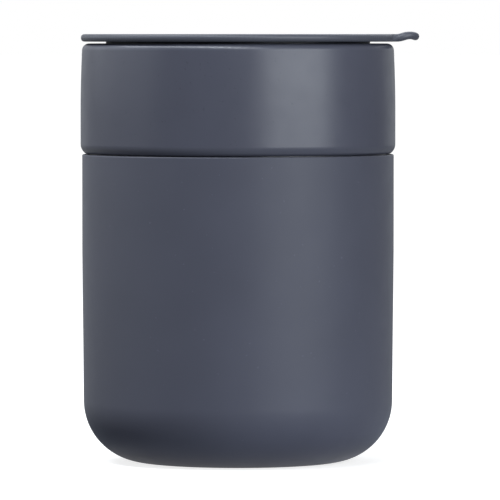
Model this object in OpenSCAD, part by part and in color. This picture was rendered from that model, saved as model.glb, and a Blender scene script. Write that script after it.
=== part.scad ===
// Ceramic travel mug: a glazed cup in a silicone sleeve, with a press-in lid whose
// sip flap swings up on a steel pin. The origin is the centre of the base on the table.

/* [Cup] */
// Height of the rim above the table
rim_z = 118.2; // [108:0.1:150]
// Radius of the bare ceramic band at its widest
band_r = 44.5; // [42:0.1:52]
// Height above which the band leans in towards the lip
band_bow_z = 98.7; // [95:0.1:106]
// Radius of the band's gentle bow below the lip
band_bow_r = 360; // [250:10:600]
// Radius of the rounding under the band
band_edge_r = 3.2; // [2.8:0.1:4]
// Height of that rounding above the joint with the sleeve
band_edge_h = 2.6; // [1.5:0.1:2.7]
// Thickness of the lip
lip_t = 6; // [5.6:0.1:7]
// Radius of the rounding at both edges of the lip
lip_r = 2; // [1.5:0.1:2.7]
// Height of the straight land inside the mouth that the gasket grips
mouth_land = 13; // [11:0.5:20]
// Thickness of the cup's wall at its foot
cup_wall = 5.6; // [4:0.1:8]
// Thickness of the cup's floor
cup_floor = 6; // [4:0.1:9]
// Radius of the rounding between the cup's floor and its wall
bowl_r = 12; // [6:0.5:18]
// Height of the foot ring
foot_h = 1; // [0.6:0.1:2]
// Width of the foot ring
foot_w = 3.5; // [2:0.1:6]
// How far the foot ring stays inside the flat of the sleeve's floor
foot_set_in = 1.2; // [0.5:0.1:4]

/* [Sleeve] */
// Height of the sleeve's top edge
sleeve_h = 86.9; // [80:0.1:91]
// Thickness of the sleeve
sleeve_t = 2; // [1.2:0.1:2.4]
// How far the sleeve's skin lies inside the band's skin
sleeve_set_in = 0.45; // [0.3:0.05:0.6]
// Clearance between the sleeve and the cup
sleeve_fit = 0.15; // [0.1:0.01:0.3]
// Gap between the sleeve's top edge and the ceramic above it
joint_gap = 0.3; // [0.1:0.05:0.6]
// Rounding of the sleeve's top outer edge
sleeve_edge_r = 0.35; // [0.1:0.05:0.6]
// Height below which the sleeve's wall leans in
taper_z = 60; // [40:1:75]
// How far the lower wall leans in where it meets the rounding at the base
taper_in = 0.38; // [0:0.01:1.5]
// Radius of the big rounding at the base
corner_r = 17.3; // [10:0.1:22]
// Number of grip grooves in the base
groove_n = 3; // [1:1:4]
// Distance between grip grooves
groove_pitch = 5; // [3:0.5:6]
// Width of a grip groove
groove_w = 1.2; // [0.6:0.1:2]
// Depth of a grip groove
groove_d = 0.6; // [0.3:0.1:0.9]
// Distance from the flat base's edge to the first groove
groove_margin = 3; // [2:0.5:6]

/* [Lid] */
// See-through gap between the rim and the plate
lid_gap = 0.5; // [0.3:0.1:1.5]
// Thickness of the plate
plate_t = 2.15; // [1.9:0.05:3]
// How far the plate's edge stays inside the band's skin
plate_set_in = 0.1; // [0:0.1:1.5]
// Clearance between the plug and the mouth
neck_gap = 0.75; // [0.5:0.05:1.2]
// Thickness of the plug's deck, under the plate
deck_t = 2; // [1.6:0.1:3]
// Depth of the plug below the plate
plug_depth = 9.5; // [8.5:0.1:12]
// Thickness of the plug's skirt
skirt_t = 2.6; // [2.2:0.1:3.4]
// Lead-in chamfer at the skirt's lower edge
skirt_chamfer = 0.8; // [0.3:0.1:1]
// Diameter of a heat-staked post
stake_d = 3; // [2:0.1:4]
// Diameter of a post's flattened head
stake_head_d = 5; // [4.2:0.1:6]
// Height of a post's flattened head
stake_head_h = 1; // [0.5:0.1:1.4]
// Clearance round a post
stake_fit = 0.05; // [0.02:0.01:0.1]
// Room between a post's head and the skirt
stake_margin = 0.6; // [0.3:0.1:2]

/* [Gasket] */
// Height of the groove that holds the gasket
gasket_h = 5; // [4:0.1:5.6]
// Depth of the groove
gasket_d = 1.2; // [0.8:0.1:1.5]
// Height of the skirt's flange below the groove
gasket_flange = 1.2; // [0.9:0.1:1.6]
// Number of sealing lips
gasket_lips = 2; // [1:1:2]
// Height of a lip at its root
lip_root = 1.4; // [0.8:0.1:1.8]
// Height of a lip at its edge
lip_tip = 0.3; // [0.2:0.05:0.6]
// How far a lip's edge bends up
lip_bend = 0.4; // [0:0.1:0.6]
// Clearance between the gasket and its groove
gasket_fit = 0.05; // [0.02:0.01:0.1]
// Clearance between a lip and the mouth
seal_fit = 0.1; // [0.05:0.01:0.2]

/* [Flap] */
// Width of the flap and its thumb tab
flap_w = 16; // [13:0.5:24]
// Clearance beside the flap in its slot
slot_gap = 0.3; // [0.15:0.05:0.6]
// Distance of the hinge from the mug's axis
hinge_x = 6; // [-4:0.5:10]
// Diameter of the hinge pin
pin_d = 1.2; // [0.8:0.1:1.5]
// Running clearance round the pin
pin_fit = 0.05; // [0.02:0.01:0.1]
// Length of pin held at each side of the slot
pin_grip = 3; // [2:0.5:6]
// Chamfer at the pin's ends
pin_chamfer = 0.2; // [0.1:0.05:0.35]
// Clearance round the flap's knuckle
knuckle_gap = 0.2; // [0.1:0.05:0.3]
// Clearance between the open flap and the bevel it leans on
stop_gap = 0.08; // [0.05:0.01:0.2]
// Angle of the open flap in degrees
open_deg = 140; // [100:1:150]
// Distance from the plate's edge to the start of the tab's wave
tab_start = 0.2; // [0.2:0.1:2]
// Length of the wave from its start to its crest
tab_wave = 4.1; // [2.5:0.1:6]
// Rise of the wave at its crest
tab_rise = 0.7; // [0.3:0.05:1.6]
// Angle through which the tab's tip turns down past the crest
tab_droop = 24; // [10:1:45]
// Radius of the bend from the crest to the tip
tip_bend_r = 3.5; // [2:0.1:8]
// Rounding of the tab's corners seen from above
tab_corner_r = 5; // [2:0.5:6]

/* [Sip hole] */
// Length of the sip hole across the flap
sip_l = 12; // [9:0.5:12.5]
// Width of the sip hole
sip_w = 7; // [5:0.5:8]
// Thickness of the collar round the sip hole
collar_t = 1.2; // [0.8:0.1:2]
// Depth of the collar below the deck
collar_d = 4; // [2:0.5:6]
// Depth of the stopper below the flap
stopper_d = 3.4; // [2.4:0.1:5]
// Height of the stopper's sealing bead
bead_h = 1.2; // [0.6:0.1:2]
// Clearance between the stopper and the sip hole
sip_fit = 0.08; // [0.05:0.01:0.2]
// Length of the key that holds the stopper in the flap
key_l = 6; // [3:0.5:7]
// Width of the key
key_w = 2.6; // [1.5:0.1:4]
// Height of the key
key_h = 1.2; // [0.6:0.1:1.4]
// Clearance round the key
key_fit = 0.05; // [0.02:0.01:0.1]
// Diameter of the air vent
vent_d = 2; // [1:0.1:3]
// Distance from the hinge to the air vent
vent_x = 9; // [6:0.5:12]

/* [Hidden] */
$fn = 160;
// How far a cut runs past the face that it opens
over = 1;

// Sleeve: the rounding at the base ends at the flat that stands on the table
sleeve_r = band_r - sleeve_set_in;
corner_x = sleeve_r - taper_in - corner_r;

// Cup
cup_inset = sleeve_t + sleeve_fit;
recess_r = sleeve_r - cup_inset;
cup_base_z = sleeve_t + foot_h;
floor_z = cup_base_z + cup_floor;
bore_r = recess_r - cup_wall;
foot_r = corner_x - foot_set_in;
edge_x = band_r - band_edge_r;
joint_z = sleeve_h + joint_gap;
edge_z = joint_z + band_edge_h;

// Lip: the circle of its outer rounding touches the band's bow from inside
lip_z = rim_z - lip_r;
bow_x = band_r - band_bow_r;
bow_deg = asin((lip_z - band_bow_z) / (band_bow_r - lip_r));
lip_x = bow_x + (band_bow_r - lip_r) * cos(bow_deg);
mouth_r = lip_x + lip_r - lip_t;

// Lid
plate_z = rim_z + lid_gap;
plate_r = band_r - plate_set_in;
deck_z = plate_z - deck_t;
plug_z = plate_z - plug_depth;
neck_r = mouth_r - neck_gap;
skirt_r = neck_r - skirt_t;
groove_r = neck_r - gasket_d;
groove_z = plug_z + gasket_flange;
seal_r = mouth_r - seal_fit;
stake_r = skirt_r - stake_margin - stake_head_d / 2;
stake_deg = [60, 125, 235, 300];

// Hinge: the pin lies in grooves under the plate, on the plug's deck
slot_w = flap_w + 2 * slot_gap;
pin_r = pin_d / 2;
pin_up = pin_r + pin_fit;
hinge_z = plate_z + pin_up;
knuckle_r = plate_t - pin_up;
pin_l = slot_w + 2 * pin_grip;

// Thumb tab: two equal arcs lift the strip to its crest, and a tighter bend runs on to the tip
tab_x = plate_r + tab_start;
crest_x = tab_x + tab_wave;
wave_r = (pow(tab_wave, 2) + pow(tab_rise, 2)) / (4 * tab_rise);
wave_deg = 2 * atan(tab_rise / tab_wave);
tip_x = crest_x + tip_bend_r * sin(tab_droop);
tip_up = tab_rise - tip_bend_r * (1 - cos(tab_droop));

// Sip hole: near the lip, with its collar let into the skirt by half the collar's wall
sip_x = skirt_r - collar_t / 2 - sip_w / 2;
stopper_reach = sip_x + sip_w / 2 - hinge_x;

// How far a point this deep under the flap moves out while it swings up
function swing_out(depth) = sqrt(pow(stopper_reach, 2) + pow(pin_up + depth, 2)) - stopper_reach;

// Half section of the lower body, moved in from the sleeve's skin by inset
module body_half(inset, top) {
    arc_r = corner_r - inset;
    wall_x = sleeve_r - inset;
    polygon([[0, corner_r], [corner_x + arc_r, corner_r],
             [wall_x, taper_z], [wall_x, top], [0, top]]);
    translate([0, inset])
        square([corner_x, arc_r]);
    translate([corner_x, corner_r])
        slice(arc_r, -90, 0);
}

// Flat outline with round ends, long across the flap
module stadium(length, width) {
    square([width, length - width], center = true);
    for (side = [-1, 1])
        translate([0, side * (length - width) / 2])
            circle(width / 2);
}

// Pie slice of a circle between two angles less than a half turn apart
module slice(radius, from_deg, to_deg) {
    reach = 2 * radius;
    intersection() {
        circle(radius);
        polygon([[0, 0],
                 reach * [cos(from_deg), sin(from_deg)],
                 reach * [cos(to_deg), sin(to_deg)]]);
    }
}

// Points along an arc
function arc_points(centre, radius, from_deg, to_deg, steps = 10) =
    [for (i = [0 : steps])
        let (a = from_deg + (to_deg - from_deg) * i / steps)
        centre + radius * [cos(a), sin(a)]];

// Bar along Y at the hinge, whose end shape is drawn in X and Z from the hinge's axis
module hinge_bar(length) {
    translate([hinge_x, 0, hinge_z])
    rotate([90, 0, 0])
    linear_extrude(length, center = true)
        children();
}

module silicone_sleeve() {
    corner = [sleeve_r - sleeve_edge_r, sleeve_h - sleeve_edge_r];
    color("#50545f")
    rotate_extrude()
    difference() {
        union() {
            difference() {
                body_half(0, sleeve_h);
                translate(corner)
                    square(sleeve_edge_r + over);
            }
            intersection() {
                translate(corner)
                    circle(sleeve_edge_r);
                translate(corner)
                    square(sleeve_edge_r);
            }
        }
        body_half(sleeve_t, sleeve_h + over);
        for (i = [0 : groove_n - 1]) {
            ring_r = corner_x - groove_margin - i * groove_pitch;
            if (ring_r > groove_pitch)
                translate([ring_r - groove_w, -over])
                    square([groove_w, groove_d + over]);
        }
    }
}

// Hollow of the cup: rounded floor, slightly widening wall and a straight land at the mouth
module cup_hollow() {
    bowl_z = floor_z + bowl_r;
    land_z = lip_z - mouth_land;
    polygon([[0, bowl_z], [bore_r, bowl_z], [mouth_r, land_z],
             [mouth_r, rim_z + over], [0, rim_z + over]]);
    translate([0, floor_z])
        square([bore_r - bowl_r, bowl_r]);
    translate([bore_r - bowl_r, bowl_z])
        slice(bowl_r, -90, 0);
}

module ceramic_cup() {
    color("#565b67")
    rotate_extrude()
    difference() {
        union() {
            difference() {
                body_half(cup_inset, edge_z);
                square([sleeve_r, cup_base_z]);
            }
            translate([foot_r - foot_w, sleeve_t])
                square([foot_w, foot_h + cup_floor / 2]);
            intersection() {
                translate([edge_x, edge_z])
                    slice(band_edge_r, -90, 0);
                translate([0, joint_z])
                    square([band_r, band_edge_r]);
            }
            translate([0, edge_z - band_edge_r])
                square([edge_x, 2 * band_edge_r]);
            translate([0, edge_z])
                square([band_r, band_bow_z - edge_z]);
            intersection() {
                translate([bow_x, band_bow_z])
                    circle(band_bow_r, $fn = 256);
                polygon([[0, edge_z + band_edge_r], [band_r, edge_z + band_edge_r],
                         [lip_x, lip_z] + 2 * lip_r * [cos(bow_deg), sin(bow_deg)],
                         [lip_x, lip_z], [0, lip_z]]);
            }
            for (x = [lip_x, mouth_r + lip_r])
                translate([x, lip_z])
                    circle(lip_r);
            translate([mouth_r + lip_r, lip_z])
                square([lip_t - 2 * lip_r, lip_r]);
        }
        cup_hollow();
    }
}

module lid_plate() {
    color("#5a5e68")
    difference() {
        union() {
            translate([0, 0, plate_z])
            rotate_extrude() {
                square([plate_r - plate_t / 2, plate_t]);
                translate([plate_r - plate_t / 2, plate_t / 2])
                    circle(plate_t / 2);
            }
            for (a = stake_deg)
                rotate(a)
                translate([stake_r, 0, deck_z - stake_head_h]) {
                    cylinder(d = stake_head_d, h = stake_head_h);
                    cylinder(d = stake_d, h = stake_head_h + deck_t + plate_t / 2);
                }
        }
        // Slot for the flap, open at the edge, with a bevel that the open flap leans on
        hinge_bar(slot_w) {
            translate([0, -pin_up - over])
                square([plate_r, plate_t + 2 * over]);
            circle(knuckle_r + knuckle_gap);
            rotate(open_deg)
            translate([0, -plate_t])
                square([plate_r, plate_t + knuckle_r + stop_gap]);
        }
        // Groove for the pin, open underneath
        hinge_bar(pin_l + 2 * pin_fit) {
            circle(pin_up);
            translate([-pin_up, -pin_up - over])
                square([2 * pin_up, pin_up + over]);
        }
    }
}

module lid_plug() {
    color("#3a3d46")
    difference() {
        union() {
            rotate_extrude()
            difference() {
                polygon([[0, deck_z], [skirt_r, deck_z], [skirt_r, plug_z],
                         [neck_r - skirt_chamfer, plug_z], [neck_r, plug_z + skirt_chamfer],
                         [neck_r, plate_z], [0, plate_z]]);
                translate([groove_r, groove_z])
                    square([gasket_d + over, gasket_h]);
            }
            translate([sip_x, 0, deck_z - collar_d])
            linear_extrude(collar_d)
                stadium(sip_l + 2 * collar_t, sip_w + 2 * collar_t);
        }
        translate([sip_x, 0, deck_z - collar_d - over])
        linear_extrude(deck_t + collar_d + 2 * over)
            stadium(sip_l, sip_w);
        hinge_bar(slot_w)
            circle(knuckle_r + knuckle_gap);
        translate([hinge_x + vent_x, 0, deck_z - over])
            cylinder(d = vent_d, h = deck_t + 2 * over);
        for (a = stake_deg)
            rotate(a)
            translate([stake_r, 0, deck_z - over])
                cylinder(d = stake_d + 2 * stake_fit, h = deck_t + 2 * over);
    }
}

module lid_gasket() {
    root_h = min(lip_root, gasket_h / gasket_lips);
    tip_h = min(lip_tip, root_h / 2);
    pitch = gasket_h / gasket_lips;
    color("#2b2d34")
    rotate_extrude() {
        translate([groove_r + gasket_fit, groove_z])
            square([neck_r - groove_r - gasket_fit, gasket_h - gasket_fit]);
        for (i = [0 : gasket_lips - 1]) {
            mid_z = groove_z + (i + 0.5) * pitch;
            polygon([[neck_r - gasket_fit, mid_z - root_h / 2],
                     [seal_r, mid_z - tip_h / 2 + lip_bend],
                     [seal_r, mid_z + tip_h / 2 + lip_bend],
                     [neck_r - gasket_fit, mid_z + root_h / 2]]);
        }
    }
}

module hinge_pin() {
    color("silver")
    translate([hinge_x, pin_l / 2, hinge_z])
    rotate([90, 0, 0])
    rotate_extrude()
        polygon([[0, 0], [pin_r - pin_chamfer, 0], [pin_r, pin_chamfer],
                 [pin_r, pin_l - pin_chamfer], [pin_r - pin_chamfer, pin_l], [0, pin_l]]);
}

// Side view of the flap's strip from the hinge's axis: flat stretch, wave and round tip
module strip_side() {
    half = plate_t / 2;
    mid_up = half - pin_up;
    dip = [tab_x - hinge_x, mid_up + wave_r];
    hump = [crest_x - hinge_x, mid_up + tab_rise - wave_r];
    bend = [crest_x - hinge_x, mid_up + tab_rise - tip_bend_r];
    tip = [tip_x - hinge_x, mid_up + tip_up];
    polygon(concat(
        [[0, knuckle_r]],
        arc_points(dip, wave_r - half, -90, -90 + wave_deg),
        arc_points(hump, wave_r + half, 90 + wave_deg, 90),
        arc_points(bend, tip_bend_r + half, 90, 90 - tab_droop),
        arc_points(tip, half, 90 - tab_droop, -90 - tab_droop),
        arc_points(bend, tip_bend_r - half, 90 - tab_droop, 90),
        arc_points(hump, wave_r - half, 90, 90 + wave_deg),
        arc_points(dip, wave_r + half, -90 + wave_deg, -90),
        [[0, -pin_up]]));
}

// Outline of the flap from above, with round corners at the tab
module flap_plan() {
    end_x = tip_x + plate_t / 2;
    translate([hinge_x - over, -flap_w / 2])
        square([end_x - tab_corner_r - hinge_x + over, flap_w]);
    translate([end_x - 2 * tab_corner_r, tab_corner_r - flap_w / 2])
        square([2 * tab_corner_r, flap_w - 2 * tab_corner_r]);
    for (side = [-1, 1])
        translate([end_x - tab_corner_r, side * (flap_w / 2 - tab_corner_r)])
            circle(tab_corner_r);
}

module sip_flap() {
    color("#5f636d")
    difference() {
        union() {
            intersection() {
                hinge_bar(flap_w + 2 * over)
                    strip_side();
                translate([0, 0, plate_z - over])
                linear_extrude(plate_t + tab_rise + 2 * over)
                    flap_plan();
            }
            hinge_bar(flap_w)
                circle(knuckle_r);
        }
        hinge_bar(flap_w + 2 * over)
            circle(pin_up);
        translate([sip_x, 0, plate_z - over])
        linear_extrude(key_h + key_fit + over)
            stadium(key_l + 2 * key_fit, key_w + 2 * key_fit);
    }
}

module sip_stopper() {
    bead_gap = 2 * (sip_fit + swing_out(bead_h));
    nose_gap = 2 * (sip_fit + swing_out(stopper_d));
    color("#2b2d34")
    translate([sip_x, 0, plate_z]) {
        translate([0, 0, -bead_h])
        linear_extrude(bead_h)
            stadium(sip_l - bead_gap, sip_w - bead_gap);
        translate([0, 0, -stopper_d])
        linear_extrude(stopper_d - bead_h)
            stadium(sip_l - nose_gap, sip_w - nose_gap);
        linear_extrude(key_h)
            stadium(key_l, key_w);
    }
}

silicone_sleeve();
ceramic_cup();
lid_plate();
lid_plug();
lid_gasket();
hinge_pin();
sip_flap();
sip_stopper();
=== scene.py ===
"""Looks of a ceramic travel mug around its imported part, in metres and in the part's own frame."""

import math
from collections import namedtuple

import bmesh
import bpy
from mathutils import Matrix, Vector


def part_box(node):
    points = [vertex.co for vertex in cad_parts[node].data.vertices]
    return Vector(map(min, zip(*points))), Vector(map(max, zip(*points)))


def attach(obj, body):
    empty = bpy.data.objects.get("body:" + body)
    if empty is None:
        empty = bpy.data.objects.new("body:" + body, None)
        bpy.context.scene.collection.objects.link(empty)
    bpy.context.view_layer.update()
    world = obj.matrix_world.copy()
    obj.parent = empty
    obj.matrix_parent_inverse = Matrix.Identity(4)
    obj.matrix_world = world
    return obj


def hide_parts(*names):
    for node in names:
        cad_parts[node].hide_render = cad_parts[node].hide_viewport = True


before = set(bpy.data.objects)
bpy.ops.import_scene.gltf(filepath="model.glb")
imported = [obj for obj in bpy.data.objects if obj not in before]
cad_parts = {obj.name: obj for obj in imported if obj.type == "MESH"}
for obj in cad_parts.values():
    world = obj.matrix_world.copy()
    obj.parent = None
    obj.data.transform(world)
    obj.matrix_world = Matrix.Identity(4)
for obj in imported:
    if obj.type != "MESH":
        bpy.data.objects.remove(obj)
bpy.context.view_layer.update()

# A corner of an outline with the reach of its rounding, and an arc about a centre
Corner = namedtuple("Corner", "x z reach", defaults=(0,))
Arc = namedtuple("Arc", "x z degrees steps")
# A soft lamp: its place about the mug's middle, its size and its brightness
Lamp = namedtuple("Lamp", "name azimuth elevation away width height radiance")

MM = 0.001
# Points closer than this are one point
WELD = 1e-6
# Edges that turn by more than this are shaded sharp
SHARP = math.radians(40)
# Shares of a normal along an axis by which a face looks or leans that way, or lies square to it
FACING, LEANING, SQUARE = 0.9, 0.3, 0.1
# Steps of a full turn of a spun section and of a post, and sides of the stopper's ends and of the floor
TURN_STEPS, POST_STEPS = 224, 32
STOPPER_SIDES, FLOOR_SIDES = 48, 64
# Steps of a rounded corner of an outline: a few, and more with the root of its reach
ROUND_STEPS = 4
ROUND_FINE = 0.02 * MM

# Sizes that the part gives
sleeve_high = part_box("silicone_sleeve")[1]
cup_low, cup_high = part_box("ceramic_cup")
plate_low, plate_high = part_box("lid_plate")
plug_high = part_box("lid_plug")[1]
gasket_low, gasket_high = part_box("lid_gasket")
pin_low, pin_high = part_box("hinge_pin")
flap_low, flap_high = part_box("sip_flap")
stopper_low, stopper_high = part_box("sip_stopper")

SLEEVE_R = sleeve_high.x
SLEEVE_H = sleeve_high.z
SLEEVE_T = cup_low.z
BAND_R = cup_high.x
RIM_Z = cup_high.z
PLATE_R = -plate_low.x
PLATE_Z = plug_high.z
PLATE_TOP = plate_high.z
PLATE_T = PLATE_TOP - PLATE_Z
NECK_R = plug_high.x
HINGE = (pin_low + pin_high) / 2
PIN_R = pin_high.z - HINGE.z
FLAP_W = flap_high.y - flap_low.y
KNUCKLE_R = PLATE_TOP - HINGE.z
TAB_RISE = flap_high.z - PLATE_TOP

# Sleeve: big rounding at the base, lean of the lower wall and grip grooves underneath
CORNER_R = 17.3 * MM
CORNER_STEPS = 36
TAPER_Z = 60 * MM
TAPER_IN = 0.38 * MM
SLEEVE_EDGE_R = 0.35 * MM
GROOVE_COUNT = 3
GROOVE_PITCH = 5 * MM
GROOVE_W = 1.2 * MM
GROOVE_D = 0.6 * MM
GROOVE_MARGIN = 3 * MM
GROOVE_EDGE_R = 0.2 * MM

# Cup: foot ring, recess for the sleeve, bare band and lip
SLEEVE_FIT = 0.15 * MM
JOINT_GAP = 0.3 * MM
FOOT_H = 1 * MM
FOOT_W = 3.5 * MM
FOOT_SET_IN = 1.2 * MM
FOOT_EDGE_R = 0.4 * MM
BODY_STEPS = 24
BAND_EDGE_R = 3.2 * MM
BAND_EDGE_H = 2.6 * MM
BAND_EDGE_STEPS = 14
BAND_BOW_Z = 98.7 * MM
BAND_BOW_R = 360 * MM
BAND_BOW_STEPS = 12
LIP_R = 2.0 * MM
LIP_T = 6 * MM
LIP_STEPS = 16
MOUTH_LAND = 13 * MM
LAND_R = 2 * MM
CUP_WALL = 5.6 * MM
CUP_FLOOR = 6 * MM
BOWL_R = 12 * MM

# Lid: round edge of the plate, slot for the flap and posts that hold the plug
PLATE_EDGE_R = 1.05 * MM
PLATE_EDGE_STEPS = 8
SLOT_GAP = 0.3 * MM
SLOT_EDGE_R = 0.2 * MM
OPEN_DEG = 140
STOP_GAP = 0.08 * MM
STAKE_DEG = (60, 125, 235, 300)
STAKE_IN = 5.7 * MM
STAKE_R = 1.5 * MM
STAKE_HEAD_R = 2.5 * MM
STAKE_HEAD_H = 1 * MM
STAKE_DOME_R = 0.6 * MM
DECK_T = 2 * MM

# Gasket: ring in the plug's groove with two bent sealing lips
GASKET_D = 1.15 * MM
GASKET_LIPS = 2
LIP_ROOT = 1.4 * MM
LIP_TIP = 0.3 * MM
LIP_BEND = 0.4 * MM
GASKET_EDGE_R = 0.12 * MM

# Flap: knuckle round the pin, with a heel below the strip
PIN_FIT = 0.05 * MM
KNUCKLE_STEPS, BORE_STEPS, HEEL_STEPS = 24, 20, 8
# The strip's middle height, and the wave of the thumb tab past the plate's edge
STRIP_Z = PLATE_Z + PLATE_T / 2
TAB_OFF = 0.2 * MM
TAB_X = PLATE_R + TAB_OFF
TAB_WAVE = 4.1 * MM
TIP_BEND_R = 3.5 * MM
TAB_DROOP = math.radians(24)
TAB_CUT = 0.3 * MM
WAVE_R = (TAB_WAVE ** 2 + TAB_RISE ** 2) / (4 * TAB_RISE)
WAVE_TURN = 2 * math.atan(TAB_RISE / TAB_WAVE)
# Lengths along the strip of each rising arc and of the bend to the tip
RISE_L = WAVE_R * WAVE_TURN
BEND_L = TIP_BEND_R * TAB_DROOP
# Roundings of the strip's rim, which grow over a short fade where the strip leaves the slot
TAB_CORNER_R = 5 * MM
TAB_CORNER_STEPS = 12
TAB_EDGE_R = 1.0 * MM
FLAP_EDGE_STEPS = 7
FREE_X = PLATE_R - TAB_EDGE_R
FREE_FADE = 1.5 * MM
FADE_STEPS = 8

# Stopper: sealing bead, slimmer nose and the key in the flap
NOSE_D = 3.4 * MM
BEAD_H = 1.2 * MM
NOSE_IN = 0.23 * MM
NOSE_EDGE_R = 0.7 * MM
BEAD_EDGE_R = 0.2 * MM
STOPPER_EDGE_STEPS = 6
KEY_IN = 2.05 * MM

# Materials: sockets of a colour mix, the span of most cloud values and the heights where clay turns to glaze
MIX_UNDER, MIX_OVER, MIX_OUT = 6, 7, 2
CLOUD_SPAN = 0.3, 0.7
CLAY_FADE = SLEEVE_T + 0.15 * MM, SLEEVE_T + 0.45 * MM

# Camera: where the mug's axis and base lie in the 500 pixel square, and the size of a pixel at the axis
PHOTO_PX = 500
PIXEL = 0.283 * MM
AXIS_PX = 238.0
BASE_PX = 461.24
CAMERA_AWAY = 1.6
CAMERA_UP = 0.12076
SENSOR_MM = 36

# Floor: its radius and its hair's breadth under the base
FLOOR_R = 30
FLOOR_DOWN = 0.03 * MM
# Its own white for the camera, weaker near the mug and full farther off
FLOOR_GLOW = 0.78
GLOW_NEAR, GLOW_FAR = 0.14, 0.6
# The grey that the camera sees, and the greys that it throws back: a painted pool of light near the mug, a
# darker grey far off, and a painted shadow of the mug near on the left
FLOOR_SEEN = (0.45, 0.45, 0.45)
BOUNCE_POOL_NEAR, BOUNCE_FAR = (0.44, 0.46, 0.52), (0.2, 0.2, 0.2)
BOUNCE_SHADOW_LEFT = (0.04, 0.045, 0.055)
BOUNCE_FADE = 0.06, 0.2
LEFT_FADE = -0.06, 0.03
# A glow under the base's rounding, which lights the mug and is hidden from the camera
UNDER_GLOW = 0.34
UNDER_FADE = 0.034, 0.043

# Room: its brightness for the camera, for reflections and for light
ROOM_SEEN, ROOM_MIRRORED, ROOM_LIGHT = 1, 0.2, 0.18

# Lamps: their slightly cool white, and the point that they face
LAMP_COLOUR = (0.9, 0.955, 1.0)
MUG_MIDDLE = Vector((0, 0, RIM_Z / 2))
LAMPS = (
    Lamp("key", 43.5, 12, 0.85, 0.77, 0.62, 4.3),
    Lamp("left", -97, 20, 0.85, 1.15, 0.5, 1.15),
    Lamp("back", 180, 12, 0.85, 1.7, 0.6, 0.4),
    Lamp("back_fill", 170, 45, 0.9, 0.9, 0.4, 2.5),
    Lamp("top", -50, 62, 0.9, 1.6, 0.08, 33),
)


def placed(name, data):
    """New object in the scene."""
    made = bpy.data.objects.new(name, data)
    bpy.context.scene.collection.objects.link(made)
    return made


def rounded(bm, geom, reach, steps, affect="EDGES"):
    """Rounds edges, or the corners of a flat face."""
    bmesh.ops.bevel(bm, geom=geom, offset=reach, offset_type="OFFSET", segments=steps, profile=0.5,
                    affect=affect, material=-1)


def arc_from(bm, vert, centre, axis, angle, steps):
    """Sweeps a vertex along an arc of edges and gives the last vertex."""
    swept = bmesh.ops.spin(bm, geom=[vert], cent=centre, axis=axis, dvec=(0, 0, 0), angle=angle,
                           steps=steps, use_merge=False, use_duplicate=False)
    return next(g for g in swept["geom_last"] if isinstance(g, bmesh.types.BMVert))


def outline_face(bm, path):
    """Fills a path of corners and arcs in the XZ plane, which closes by itself."""
    before = set(bm.edges)
    first = last = None
    corners = []
    for step in path:
        if isinstance(step, Arc):
            last = arc_from(bm, last, (step.x, 0, step.z), (0, -1, 0), math.radians(step.degrees),
                            step.steps)
            continue
        vert = bm.verts.new((step.x, 0, step.z))
        if last:
            bm.edges.new((last, vert))
        first = first or vert
        last = vert
        if step.reach:
            corners.append((vert, step.reach))
    bm.edges.new((last, first))
    bmesh.ops.edgeloop_fill(bm, edges=[e for e in bm.edges if e not in before])
    for vert, reach in corners:
        steps = ROUND_STEPS + int(math.sqrt(reach / ROUND_FINE))
        rounded(bm, [vert], reach, steps, "VERTICES")


def spun(path, steps=TURN_STEPS):
    """Closed skin made by a full turn of a half section about the mug's axis."""
    bm = bmesh.new()
    outline_face(bm, path)
    edges = [e for e in bm.edges if max(v.co.x for v in e.verts) > WELD]
    bmesh.ops.delete(bm, geom=bm.faces[:], context="FACES_ONLY")
    verts = list({v for e in edges for v in e.verts})
    bmesh.ops.spin(bm, geom=verts + edges, cent=(0, 0, 0), axis=(0, 0, 1), dvec=(0, 0, 0),
                   angle=math.tau, steps=steps, use_merge=True, use_duplicate=False)
    loose = [e for e in bm.edges if not e.link_faces]
    bmesh.ops.delete(bm, geom=loose, context="EDGES")
    return bm


def raised(bm, faces, move):
    """Extrudes faces by a move and gives the new vertices."""
    grown = bmesh.ops.extrude_face_region(bm, geom=faces)["geom"]
    verts = [g for g in grown if isinstance(g, bmesh.types.BMVert)]
    bmesh.ops.translate(bm, verts=verts, vec=move)
    return verts


def cut_across(bm, places):
    """Cuts a bmesh by planes across X."""
    for x in places:
        bmesh.ops.bisect_plane(bm, geom=bm.verts[:] + bm.edges[:] + bm.faces[:], dist=WELD,
                               plane_co=(x, 0, 0), plane_no=(1, 0, 0))


def rounded_by_weight(bm, widest, steps):
    """Rounds the edges of a bmesh by their bevel weights, where a weight of 1 is the widest rounding."""
    mesh = bpy.data.meshes.new("blank")
    bm.to_mesh(mesh)
    blank = placed("blank", mesh)
    rounding = blank.modifiers.new("rounding", "BEVEL")
    rounding.limit_method = "WEIGHT"
    rounding.width = widest
    rounding.segments = steps
    rounding.profile = 0.5
    rounding.use_clamp_overlap = False
    bm.clear()
    bm.from_object(blank, bpy.context.evaluated_depsgraph_get())
    bpy.data.objects.remove(blank)
    bpy.data.meshes.remove(mesh)


def add_copy(bm, other, place):
    """Adds a moved copy of another bmesh."""
    mesh = bpy.data.meshes.new("copy")
    other.to_mesh(mesh)
    mesh.transform(place)
    bm.from_mesh(mesh)
    bpy.data.meshes.remove(mesh)


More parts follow.
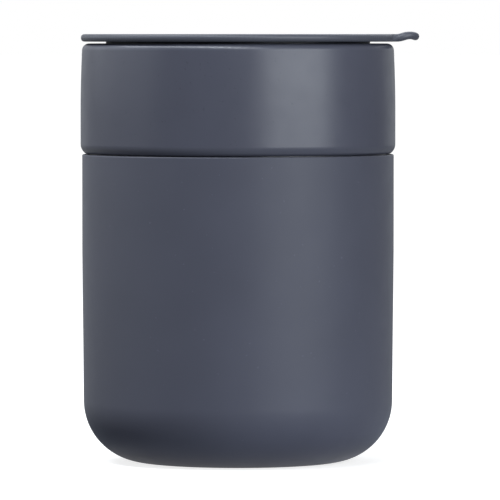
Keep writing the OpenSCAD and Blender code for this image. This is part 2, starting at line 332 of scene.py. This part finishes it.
def piece(name, bm, material, body, slot, *nodes):
    """Makes a bmesh a smooth piece that stands for CAD nodes and rides on their body."""
    bmesh.ops.remove_doubles(bm, verts=bm.verts, dist=WELD)
    bmesh.ops.recalc_face_normals(bm, faces=bm.faces)
    mesh = bpy.data.meshes.new(name)
    bm.to_mesh(mesh)
    bm.free()
    mesh.shade_smooth()
    mesh.set_sharp_from_angle(angle=SHARP)
    mesh.materials.append(material)
    made = placed(name, mesh)
    even = made.modifiers.new("even_shading", "WEIGHTED_NORMAL")
    even.keep_sharp = True
    shaded = made.evaluated_get(bpy.context.evaluated_depsgraph_get())
    made.data = bpy.data.meshes.new_from_object(shaded)
    made.modifiers.clear()
    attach(made, body)
    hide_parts(*nodes)


def textured(name, metallic=0, specular=0.5, sheen=0):
    """New material with its node tree, its shader and the piece's own coordinates."""
    material = bpy.data.materials.new(name)
    material.use_nodes = True
    tree = material.node_tree
    shader = tree.nodes["Principled BSDF"]
    shader.inputs["Metallic"].default_value = metallic
    shader.inputs["Specular IOR Level"].default_value = specular
    shader.inputs["Sheen Weight"].default_value = sheen
    shader.inputs["Sheen Roughness"].default_value = 0.5
    return material, tree, shader, tree.nodes.new("ShaderNodeTexCoord").outputs["Object"]


def stretched(tree, coords, scale):
    """Coordinates scaled on each axis."""
    mapping = tree.nodes.new("ShaderNodeMapping")
    mapping.inputs["Scale"].default_value = scale
    tree.links.new(coords, mapping.inputs["Vector"])
    return mapping.outputs["Vector"]


def clouds(tree, coords, width, detail=2):
    """Soft random pattern with blots of about this width."""
    noise = tree.nodes.new("ShaderNodeTexNoise")
    noise.inputs["Scale"].default_value = 1 / width
    noise.inputs["Detail"].default_value = detail
    tree.links.new(coords, noise.inputs["Vector"])
    return noise.outputs["Fac"]


def ranged(tree, value, from_low, from_high, low=0, high=1):
    """A value taken from one range to another, and held at its ends."""
    mapped = tree.nodes.new("ShaderNodeMapRange")
    for socket, number in zip(("From Min", "From Max", "To Min", "To Max"),
                              (from_low, from_high, low, high)):
        mapped.inputs[socket].default_value = number
    tree.links.new(value, mapped.inputs["Value"])
    return mapped.outputs["Result"]


def painted(tree, amount, under, over):
    """Colour that goes from one to another, each a colour or the output of a node."""
    mix = tree.nodes.new("ShaderNodeMix")
    mix.data_type = "RGBA"
    tree.links.new(amount, mix.inputs["Factor"])
    for socket, colour in ((MIX_UNDER, under), (MIX_OVER, over)):
        if isinstance(colour, tuple):
            mix.inputs[socket].default_value = (*colour, 1)
        else:
            tree.links.new(colour, mix.inputs[socket])
    return mix.outputs[MIX_OUT]


def bumped(tree, height, depth, strength, under=None):
    """Relief from a height pattern, laid on another relief if one is given."""
    bump = tree.nodes.new("ShaderNodeBump")
    bump.inputs["Distance"].default_value = depth
    bump.inputs["Strength"].default_value = strength
    tree.links.new(height, bump.inputs["Height"])
    if under:
        tree.links.new(under, bump.inputs["Normal"])
    return bump.outputs["Normal"]


def tinted(colour, factor):
    """Colour made darker or lighter by a factor."""
    return tuple(c * factor for c in colour)


def cloudy(tree, coords, colour, width, spread):
    """Colour that drifts a little darker and lighter in blots of about this width."""
    tone = ranged(tree, clouds(tree, coords, width), *CLOUD_SPAN)
    return painted(tree, tone, tinted(colour, 1 - spread), tinted(colour, 1 + spread))


def dress(tree, shader, colour, roughness, relief):
    """Links a colour, a roughness and a relief to a shader."""
    for socket, value in (("Base Color", colour), ("Roughness", roughness), ("Normal", relief)):
        tree.links.new(value, shader.inputs[socket])


def silicone(name, colour):
    """Matte silicone: faint cloudy tone, sparse dust and a fine soft grain."""
    material, tree, shader, coords = textured(name, specular=0.3, sheen=0.05)
    skin = cloudy(tree, coords, colour, width=22 * MM, spread=0.04)
    dust = ranged(tree, clouds(tree, coords, width=1.1 * MM, detail=1), 0.74, 0.8, high=0.5)
    rub = clouds(tree, coords, width=7 * MM, detail=3)
    grain = clouds(tree, coords, width=0.25 * MM)
    dress(tree, shader, painted(tree, dust, skin, tinted(colour, 1.6)),
          ranged(tree, rub, *CLOUD_SPAN, low=0.42, high=0.48),
          bumped(tree, grain, depth=0.02 * MM, strength=0.25))
    return material


def satin_glaze(name, colour, clay):
    """Satin glaze with a faint ripple and fine dark pits, worn off the foot ring down to bare clay."""
    material, tree, shader, coords = textured(name)
    glaze = cloudy(tree, coords, colour, width=14 * MM, spread=0.03)
    pits = ranged(tree, clouds(tree, coords, width=0.9 * MM, detail=1), 0.71, 0.77)
    pitted = painted(tree, ranged(tree, pits, 0, 1, high=0.35), glaze, tinted(colour, 0.5))
    split = tree.nodes.new("ShaderNodeSeparateXYZ")
    tree.links.new(coords, split.inputs["Vector"])
    bare = ranged(tree, split.outputs["Z"], *CLAY_FADE, low=1, high=0)
    clay_tone = clouds(tree, coords, width=0.6 * MM, detail=3)
    body = painted(tree, clay_tone, tinted(clay, 0.85), tinted(clay, 1.15))
    satin = clouds(tree, coords, width=5 * MM, detail=3)
    dull = tree.nodes.new("ShaderNodeMath")
    dull.operation = "MAXIMUM"
    tree.links.new(ranged(tree, satin, *CLOUD_SPAN, low=0.31, high=0.37), dull.inputs[0])
    tree.links.new(ranged(tree, bare, 0, 1, high=0.85), dull.inputs[1])
    waves = clouds(tree, coords, width=3 * MM, detail=1)
    ripple = bumped(tree, waves, depth=0.03 * MM, strength=0.25)
    sunk = ranged(tree, pits, 0, 1, low=1, high=0)
    dress(tree, shader, painted(tree, bare, pitted, body), dull.outputs[0],
          bumped(tree, sunk, depth=0.03 * MM, strength=0.3, under=ripple))
    return material


def moulded_plastic(name, colour):
    """Plastic with the fine even texture of its mould, slightly polished in places by handling."""
    material, tree, shader, coords = textured(name)
    polished = clouds(tree, coords, width=9 * MM, detail=3)
    texture = clouds(tree, coords, width=0.3 * MM)
    dress(tree, shader, cloudy(tree, coords, colour, width=16 * MM, spread=0.04),
          ranged(tree, polished, *CLOUD_SPAN, low=0.435, high=0.455),
          bumped(tree, texture, depth=0.015 * MM, strength=0.3))
    return material


def drawn_steel(name, colour):
    """Steel wire with fine lines along its length."""
    material, tree, shader, coords = textured(name, metallic=1)
    lines = clouds(tree, stretched(tree, coords, (1, 0.03, 1)), width=0.15 * MM, detail=3)
    dress(tree, shader, painted(tree, lines, tinted(colour, 0.85), tinted(colour, 1.1)),
          ranged(tree, lines, *CLOUD_SPAN, low=0.22, high=0.38),
          bumped(tree, lines, depth=0.005 * MM, strength=0.3))
    return material


sleeve_silicone = silicone("sleeve_silicone", (0.063, 0.066, 0.09))
glazed_stoneware = satin_glaze("glazed_stoneware", (0.06, 0.063, 0.087), (0.4, 0.35, 0.29))
lid_plastic = moulded_plastic("lid_plastic", (0.062, 0.066, 0.085))
plug_plastic = moulded_plastic("plug_plastic", (0.028, 0.03, 0.04))
seal_silicone = silicone("seal_silicone", (0.022, 0.024, 0.032))
pin_steel = drawn_steel("pin_steel", (0.6, 0.61, 0.62))


def sleeve_section():
    """Half section of the sleeve: outer skin with grip grooves, top edge, inner skin."""
    corner_x = SLEEVE_R - TAPER_IN - CORNER_R
    low_x = SLEEVE_R - TAPER_IN - SLEEVE_T
    path = [Corner(0, 0)]
    for i in reversed(range(GROOVE_COUNT)):
        outer = corner_x - GROOVE_MARGIN - i * GROOVE_PITCH
        inner = outer - GROOVE_W
        path += [Corner(inner, 0, GROOVE_EDGE_R), Corner(inner, GROOVE_D, GROOVE_EDGE_R),
                 Corner(outer, GROOVE_D, GROOVE_EDGE_R), Corner(outer, 0, GROOVE_EDGE_R)]
    path += [Corner(corner_x, 0), Arc(corner_x, CORNER_R, 90, CORNER_STEPS),
             Corner(SLEEVE_R, TAPER_Z), Corner(SLEEVE_R, SLEEVE_H, SLEEVE_EDGE_R),
             Corner(SLEEVE_R - SLEEVE_T, SLEEVE_H, SLEEVE_EDGE_R),
             Corner(SLEEVE_R - SLEEVE_T, TAPER_Z), Corner(low_x, CORNER_R),
             Arc(corner_x, CORNER_R, -90, CORNER_STEPS), Corner(0, SLEEVE_T)]
    return path


def cup_section():
    """Half section of the cup, from under its foot up the outside and down the inside."""
    inset = SLEEVE_T + SLEEVE_FIT
    corner_x = SLEEVE_R - TAPER_IN - CORNER_R
    body_r = CORNER_R - inset
    recess_r = SLEEVE_R - inset
    base_z = SLEEVE_T + FOOT_H
    foot_out = corner_x - FOOT_SET_IN
    foot_in = foot_out - FOOT_W
    body_deg = math.degrees(math.asin((CORNER_R - base_z) / body_r))
    body_x = corner_x + body_r * math.cos(math.radians(body_deg))
    path = [Corner(0, base_z), Corner(foot_in, base_z, FOOT_EDGE_R),
            Corner(foot_in, SLEEVE_T, FOOT_EDGE_R), Corner(foot_out, SLEEVE_T, FOOT_EDGE_R),
            Corner(foot_out, base_z, FOOT_EDGE_R), Corner(body_x, base_z),
            Arc(corner_x, CORNER_R, body_deg, BODY_STEPS), Corner(recess_r, TAPER_Z)]

    joint_z = SLEEVE_H + JOINT_GAP
    edge_x = BAND_R - BAND_EDGE_R
    edge_deg = math.degrees(math.asin(BAND_EDGE_H / BAND_EDGE_R))
    under_x = edge_x + BAND_EDGE_R * math.cos(math.radians(edge_deg))
    path += [Corner(recess_r, joint_z), Corner(under_x, joint_z),
             Arc(edge_x, joint_z + BAND_EDGE_H, edge_deg, BAND_EDGE_STEPS)]

    lip_z = RIM_Z - LIP_R
    bow_x = BAND_R - BAND_BOW_R
    bow_deg = math.degrees(math.asin((lip_z - BAND_BOW_Z) / (BAND_BOW_R - LIP_R)))
    lip_x = bow_x + (BAND_BOW_R - LIP_R) * math.cos(math.radians(bow_deg))
    mouth_r = lip_x + LIP_R - LIP_T
    path += [Corner(BAND_R, BAND_BOW_Z), Arc(bow_x, BAND_BOW_Z, bow_deg, BAND_BOW_STEPS),
             Arc(lip_x, lip_z, 90 - bow_deg, LIP_STEPS), Corner(mouth_r + LIP_R, RIM_Z),
             Arc(mouth_r + LIP_R, lip_z, 90, LIP_STEPS)]

    floor_z = base_z + CUP_FLOOR
    bore_r = recess_r - CUP_WALL
    path += [Corner(mouth_r, lip_z - MOUTH_LAND, LAND_R), Corner(bore_r, floor_z, BOWL_R),
             Corner(0, floor_z)]
    return path


def stake():
    """Post of the plate with its melted head under the plug's deck."""
    deck_z = PLATE_Z - DECK_T
    head_z = deck_z - STAKE_HEAD_H
    return spun([Corner(0, head_z), Corner(STAKE_HEAD_R, head_z, STAKE_DOME_R),
                 Corner(STAKE_HEAD_R, deck_z), Corner(STAKE_R, deck_z), Corner(STAKE_R, PLATE_Z),
                 Corner(0, PLATE_Z)], POST_STEPS)


def plate_shape():
    """Round plate with the flap's slot open at its edge, a bevel that the open flap leans on, and posts."""
    bm = bmesh.new()
    side = FLAP_W / 2 + SLOT_GAP
    mouth_x = math.sqrt(PLATE_R ** 2 - side ** 2)
    lean = math.radians(OPEN_DEG)
    stop = KNUCKLE_R + STOP_GAP
    low_x, high_x = (HINGE.x + ((z - HINGE.z) * math.cos(lean) - stop) / math.sin(lean)
                     for z in (PLATE_Z, PLATE_TOP))
    first = bm.verts.new((mouth_x, side, PLATE_Z))
    last = arc_from(bm, first, (0, 0, 0), (0, 0, 1), math.tau - 2 * math.asin(side / PLATE_R),
                    TURN_STEPS)
    ends = [bm.verts.new((low_x, y, PLATE_Z)) for y in (-side, side)]
    for pair in ((last, ends[0]), (ends[0], ends[1]), (ends[1], first)):
        bm.edges.new(pair)
    under = bmesh.ops.edgeloop_fill(bm, edges=bm.edges[:])["faces"]
    top = raised(bm, under, (0, 0, PLATE_T))
    bmesh.ops.translate(bm, verts=[v for v in top if abs(v.co.x - low_x) < WELD],
                        vec=(high_x - low_x, 0, 0))
    weight = bm.edges.layers.float.new("bevel_weight_edge")
    for edge in bm.edges:
        a, b = (v.co for v in edge.verts)
        on_rim = min(a.xy.length, b.xy.length) > PLATE_R - WELD
        level = abs(a.z - b.z) < WELD
        edge[weight] = 1 if on_rim and level else SLOT_EDGE_R / PLATE_EDGE_R
    rounded_by_weight(bm, PLATE_EDGE_R, PLATE_EDGE_STEPS)
    post = stake()
    out = Matrix.Translation((NECK_R - STAKE_IN, 0, 0))
    for turn in STAKE_DEG:
        add_copy(bm, post, Matrix.Rotation(math.radians(turn), 4, "Z") @ out)
    post.free()
    return bm


def gasket_section():
    """Half section of the gasket: a band in the groove and its sealing lips."""
    low, high = gasket_low.z, gasket_high.z
    pitch = (high - low) / GASKET_LIPS
    path = [Corner(NECK_R - GASKET_D, low, GASKET_EDGE_R), Corner(NECK_R, low, GASKET_EDGE_R)]
    for i in range(GASKET_LIPS):
        mid = low + (i + 0.5) * pitch
        path += [Corner(NECK_R, mid - LIP_ROOT / 2, GASKET_EDGE_R),
                 Corner(gasket_high.x, mid + LIP_BEND - LIP_TIP / 2, GASKET_EDGE_R),
                 Corner(gasket_high.x, mid + LIP_BEND + LIP_TIP / 2, GASKET_EDGE_R),
                 Corner(NECK_R, mid + LIP_ROOT / 2, GASKET_EDGE_R)]
    path += [Corner(NECK_R, high, GASKET_EDGE_R), Corner(NECK_R - GASKET_D, high, GASKET_EDGE_R)]
    return path


def waved(point):
    """Place of a point of the flat strip on the bent tab: up one arc, over the next, down to the tip."""
    along = point.x - TAB_X
    past_crest = along - 2 * RISE_L
    if along <= 0:
        return point
    if along < RISE_L:
        head = along / WAVE_R
        x = TAB_X + WAVE_R * math.sin(head)
        up = WAVE_R * (1 - math.cos(head))
    elif past_crest < 0:
        head = -past_crest / WAVE_R
        x = TAB_X + TAB_WAVE - WAVE_R * math.sin(head)
        up = TAB_RISE - WAVE_R * (1 - math.cos(head))
    else:
        head = -min(past_crest, BEND_L) / TIP_BEND_R
        spare = max(0, past_crest - BEND_L)
        x = TAB_X + TAB_WAVE - TIP_BEND_R * math.sin(head) + spare * math.cos(head)
        up = TAB_RISE - TIP_BEND_R * (1 - math.cos(head)) + spare * math.sin(head)
    off = point.z - STRIP_Z
    return Vector((x - off * math.sin(head), point.y, STRIP_Z + up + off * math.cos(head)))


def eased(point, tip_x):
    """Place of a point of the rim once its rounding has grown from the slot's to the free tab's."""
    free = min(max((point.x - FREE_X) / FREE_FADE, 0), 1)
    growth = free * (TAB_EDGE_R / SLOT_EDGE_R - 1)
    outward = Vector((max(point.x - tip_x + TAB_CORNER_R, 0),
                      math.copysign(max(abs(point.y) - FLAP_W / 2 + TAB_CORNER_R, 0), point.y), 0))
    inset = TAB_CORNER_R - outward.length
    depth = PLATE_T / 2 - abs(point.z - STRIP_Z)
    moved = point - outward.normalized() * inset * growth
    moved.z -= math.copysign(depth * growth, point.z - STRIP_Z)
    return moved


def flap_shape():
    """Flap: a strip with its knuckle round the pin, rounded at the rim, and waved at the thumb tab."""
    bm = bmesh.new()
    bore = PIN_R + PIN_FIT
    low, high = PLATE_Z - HINGE.z, PLATE_TOP - HINGE.z
    end = TAB_X - HINGE.x + 2 * RISE_L + BEND_L + TAB_EDGE_R
    heel = 90 + math.degrees(math.asin(low / KNUCKLE_R))
    outline_face(bm, [Corner(0, high), Arc(0, 0, 180, KNUCKLE_STEPS), Corner(0, -bore),
                      Arc(0, 0, -180, BORE_STEPS)])
    outline_face(bm, [Corner(end, low), Corner(end, high), Corner(0, high), Corner(0, bore),
                      Arc(0, 0, -180, BORE_STEPS), Corner(0, -KNUCKLE_R),
                      Arc(0, 0, heel, HEEL_STEPS)])
    bmesh.ops.remove_doubles(bm, verts=bm.verts, dist=WELD)
    bmesh.ops.translate(bm, verts=bm.verts, vec=(HINGE.x, -FLAP_W / 2, HINGE.z))
    raised(bm, bm.faces[:], (0, FLAP_W, 0))
    bmesh.ops.recalc_face_normals(bm, faces=bm.faces)

    tip_x = HINGE.x + end
    corners = [e for e in bm.edges
               if all(abs(v.co.x - tip_x) < WELD for v in e.verts)
               and abs(e.verts[0].co.y - e.verts[1].co.y) < WELD]
    rounded(bm, corners, TAB_CORNER_R, TAB_CORNER_STEPS)
    bm.normal_update()
    rim = []
    for edge in bm.edges:
        walls = [abs(f.normal.y) > LEANING or (f.normal.x > FACING and abs(f.normal.z) < SQUARE)
                 for f in edge.link_faces]
        middle = (edge.verts[0].co + edge.verts[1].co) / 2
        from_pin = math.hypot(middle.x - HINGE.x, middle.z - HINGE.z)
        if sorted(walls) == [False, True] and from_pin > bore + WELD:
            rim.append(edge)
    rounded(bm, rim, SLOT_EDGE_R, FLAP_EDGE_STEPS)

    cut_across(bm, [FREE_X + FREE_FADE * i / FADE_STEPS for i in range(FADE_STEPS + 1)])
    for vert in bm.verts:
        vert.co = eased(vert.co, tip_x)
    cut_across(bm, [TAB_X + TAB_CUT * i for i in range(math.ceil((tip_x - TAB_X) / TAB_CUT))])
    for vert in bm.verts:
        vert.co = waved(vert.co)
    return bm


def stopper_shape():
    """Stopper: a long rounded plug with a sealing bead under the flap and a key that holds it there."""
    bm = bmesh.new()
    bead_w = stopper_high.x - stopper_low.x
    bead_l = stopper_high.y - stopper_low.y
    middle_x = (stopper_high.x + stopper_low.x) / 2
    bmesh.ops.create_circle(bm, cap_ends=True, radius=bead_w / 2, segments=STOPPER_SIDES)
    bmesh.ops.rotate(bm, verts=bm.verts, cent=(0, 0, 0),
                     matrix=Matrix.Rotation(math.pi / STOPPER_SIDES, 3, "Z"))
    for side in (-1, 1):
        bmesh.ops.translate(bm, verts=[v for v in bm.verts if v.co.y * side > 0],
                            vec=(0, side * (bead_l - bead_w) / 2, 0))
    bmesh.ops.translate(bm, verts=bm.verts, vec=(middle_x, 0, PLATE_Z - BEAD_H))
    raised(bm, bm.faces[:], (0, 0, BEAD_H))
    bmesh.ops.recalc_face_normals(bm, faces=bm.faces)
    key_h = stopper_high.z - PLATE_Z
    for depth, thin, direction in ((NOSE_D - BEAD_H, NOSE_IN, -1), (key_h, KEY_IN, 1)):
        face = next(f for f in bm.faces if f.normal.z * direction > FACING)
        bmesh.ops.inset_region(bm, faces=[face], thickness=thin, use_even_offset=True)
        raised(bm, [face], (0, 0, depth * direction))
        bmesh.ops.delete(bm, geom=[face], context="FACES_ONLY")
        bm.normal_update()
    for z, radius in ((PLATE_Z - NOSE_D, NOSE_EDGE_R), (PLATE_Z - BEAD_H, BEAD_EDGE_R)):
        rim = [e for e in bm.edges
               if e.is_convex and all(abs(v.co.z - z) < WELD for v in e.verts)
               and sorted(f.normal.z < -FACING for f in e.link_faces) == [False, True]]
        rounded(bm, rim, radius, STOPPER_EDGE_STEPS)
    return bm


piece("sleeve", spun(sleeve_section()), sleeve_silicone, "sleeve", "sleeve_silicone", "silicone_sleeve")
piece("cup", spun(cup_section()), glazed_stoneware, "cup", "glazed_stoneware", "ceramic_cup")
piece("plate", plate_shape(), lid_plastic, "lid", "lid_plastic", "lid_plate")
piece("gasket", spun(gasket_section()), seal_silicone, "lid", "seal_silicone", "lid_gasket")
piece("flap", flap_shape(), lid_plastic, "flap", "lid_plastic", "sip_flap")
piece("stopper", stopper_shape(), seal_silicone, "flap", "seal_silicone", "sip_stopper")

for node, material in (("lid_plug", plug_plastic), ("hinge_pin", pin_steel)):
    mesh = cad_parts[node].data
    mesh.materials.clear()
    mesh.materials.append(material)


def floor_paint():
    """Paper that the camera sees as white, that throws back less light with a painted pool of light near the
    mug and a painted shadow on its left, and that glows under the base.
    """
    material = bpy.data.materials.new("white_floor")
    material.use_nodes = True
    tree = material.node_tree
    tree.nodes.clear()
    by_camera = tree.nodes.new("ShaderNodeLightPath").outputs["Is Camera Ray"]
    coords = tree.nodes.new("ShaderNodeTexCoord").outputs["Object"]
    split = tree.nodes.new("ShaderNodeSeparateXYZ")
    tree.links.new(coords, split.inputs["Vector"])
    length = tree.nodes.new("ShaderNodeVectorMath")
    length.operation = "LENGTH"
    tree.links.new(coords, length.inputs[0])
    away = length.outputs["Value"]

    white = tree.nodes.new("ShaderNodeMix")
    tree.links.new(by_camera, white.inputs["Factor"])
    tree.links.new(ranged(tree, away, *UNDER_FADE, low=UNDER_GLOW, high=0), white.inputs["A"])
    tree.links.new(ranged(tree, away, GLOW_NEAR, GLOW_FAR, low=FLOOR_GLOW), white.inputs["B"])
    glow = tree.nodes.new("ShaderNodeEmission")
    tree.links.new(white.outputs["Result"], glow.inputs["Strength"])

    # Painted light and shade that only reflected light sees: a brighter pool near the mug and a darker
    # painted shadow on its left
    near = painted(tree, ranged(tree, split.outputs["X"], *LEFT_FADE), BOUNCE_SHADOW_LEFT, BOUNCE_POOL_NEAR)
    bounce = painted(tree, ranged(tree, away, *BOUNCE_FADE), near, BOUNCE_FAR)
    paper = tree.nodes.new("ShaderNodeBsdfDiffuse")
    tree.links.new(painted(tree, by_camera, bounce, FLOOR_SEEN), paper.inputs["Color"])

    both = tree.nodes.new("ShaderNodeAddShader")
    out = tree.nodes.new("ShaderNodeOutputMaterial")
    tree.links.new(paper.outputs["BSDF"], both.inputs[0])
    tree.links.new(glow.outputs["Emission"], both.inputs[1])
    tree.links.new(both.outputs["Shader"], out.inputs["Surface"])
    return material


def white_floor():
    """Wide plain floor that keeps the mug's soft shadow."""
    bm = bmesh.new()
    bmesh.ops.create_circle(bm, cap_ends=True, radius=FLOOR_R, segments=FLOOR_SIDES)
    bmesh.ops.translate(bm, verts=bm.verts, vec=(0, 0, -FLOOR_DOWN))
    mesh = bpy.data.meshes.new("floor")
    bm.to_mesh(mesh)
    bm.free()
    mesh.materials.append(floor_paint())
    floor = placed("floor", mesh)


def around(azimuth, elevation, away):
    """Place at a distance from the mug's middle, with its azimuth from the camera's side to the right."""
    turn, rise = math.radians(azimuth), math.radians(elevation)
    side = Vector((math.sin(turn) * math.cos(rise), -math.cos(turn) * math.cos(rise), math.sin(rise)))
    return MUG_MIDDLE + side * away


def softbox(lamp):
    """Soft lamp of an even brightness that faces the mug's middle and is hidden from the camera."""
    data = bpy.data.lights.new(lamp.name, "AREA")
    data.shape = "RECTANGLE"
    data.size = lamp.width
    data.size_y = lamp.height
    data.color = LAMP_COLOUR
    data.energy = lamp.radiance * math.pi * lamp.width * lamp.height
    made = placed(lamp.name, data)
    made.location = around(lamp.azimuth, lamp.elevation, lamp.away)
    made.rotation_mode = "QUATERNION"
    made.rotation_quaternion = (made.location - MUG_MIDDLE).to_track_quat("Z", "Y")
    made.visible_camera = False


def camera():
    """Camera that sees the mug at its place and size in the square."""
    aim = Vector(((PHOTO_PX / 2 - AXIS_PX) * PIXEL, 0, (BASE_PX - PHOTO_PX / 2) * PIXEL))
    eye = Vector((aim.x, -CAMERA_AWAY, CAMERA_UP))
    data = bpy.data.cameras.new("camera")
    data.sensor_width = SENSOR_MM
    data.lens = SENSOR_MM * (aim - eye).length / (PHOTO_PX * PIXEL)
    made = placed("camera", data)
    made.location = eye
    made.rotation_mode = "QUATERNION"
    made.rotation_quaternion = (aim - eye).to_track_quat("-Z", "Y")
    bpy.context.scene.camera = made


def white_room():
    """World with its own brightness for the camera, for reflections and for light."""
    world = bpy.data.worlds.new("white_room")
    world.use_nodes = True
    tree = world.node_tree
    rays = tree.nodes.new("ShaderNodeLightPath")
    clear = tree.nodes.new("ShaderNodeMath")
    clear.operation = "MAXIMUM"
    glossy = tree.nodes.new("ShaderNodeMath")
    glossy.operation = "MULTIPLY_ADD"
    glossy.inputs[1].default_value = ROOM_MIRRORED - ROOM_LIGHT
    glossy.inputs[2].default_value = ROOM_LIGHT
    strength = tree.nodes.new("ShaderNodeMix")
    strength.inputs["B"].default_value = ROOM_SEEN
    tree.links.new(rays.outputs["Is Camera Ray"], clear.inputs[0])
    tree.links.new(rays.outputs["Is Transmission Ray"], clear.inputs[1])
    tree.links.new(rays.outputs["Is Glossy Ray"], glossy.inputs[0])
    tree.links.new(clear.outputs[0], strength.inputs["Factor"])
    tree.links.new(glossy.outputs[0], strength.inputs["A"])
    background = tree.nodes["Background"]
    background.inputs["Color"].default_value = (1, 1, 1, 1)
    tree.links.new(strength.outputs["Result"], background.inputs["Strength"])
    bpy.context.scene.world = world


white_floor()
white_room()
for lamp in LAMPS:
    softbox(lamp)
camera()
bpy.context.scene.view_settings.view_transform = "Standard"
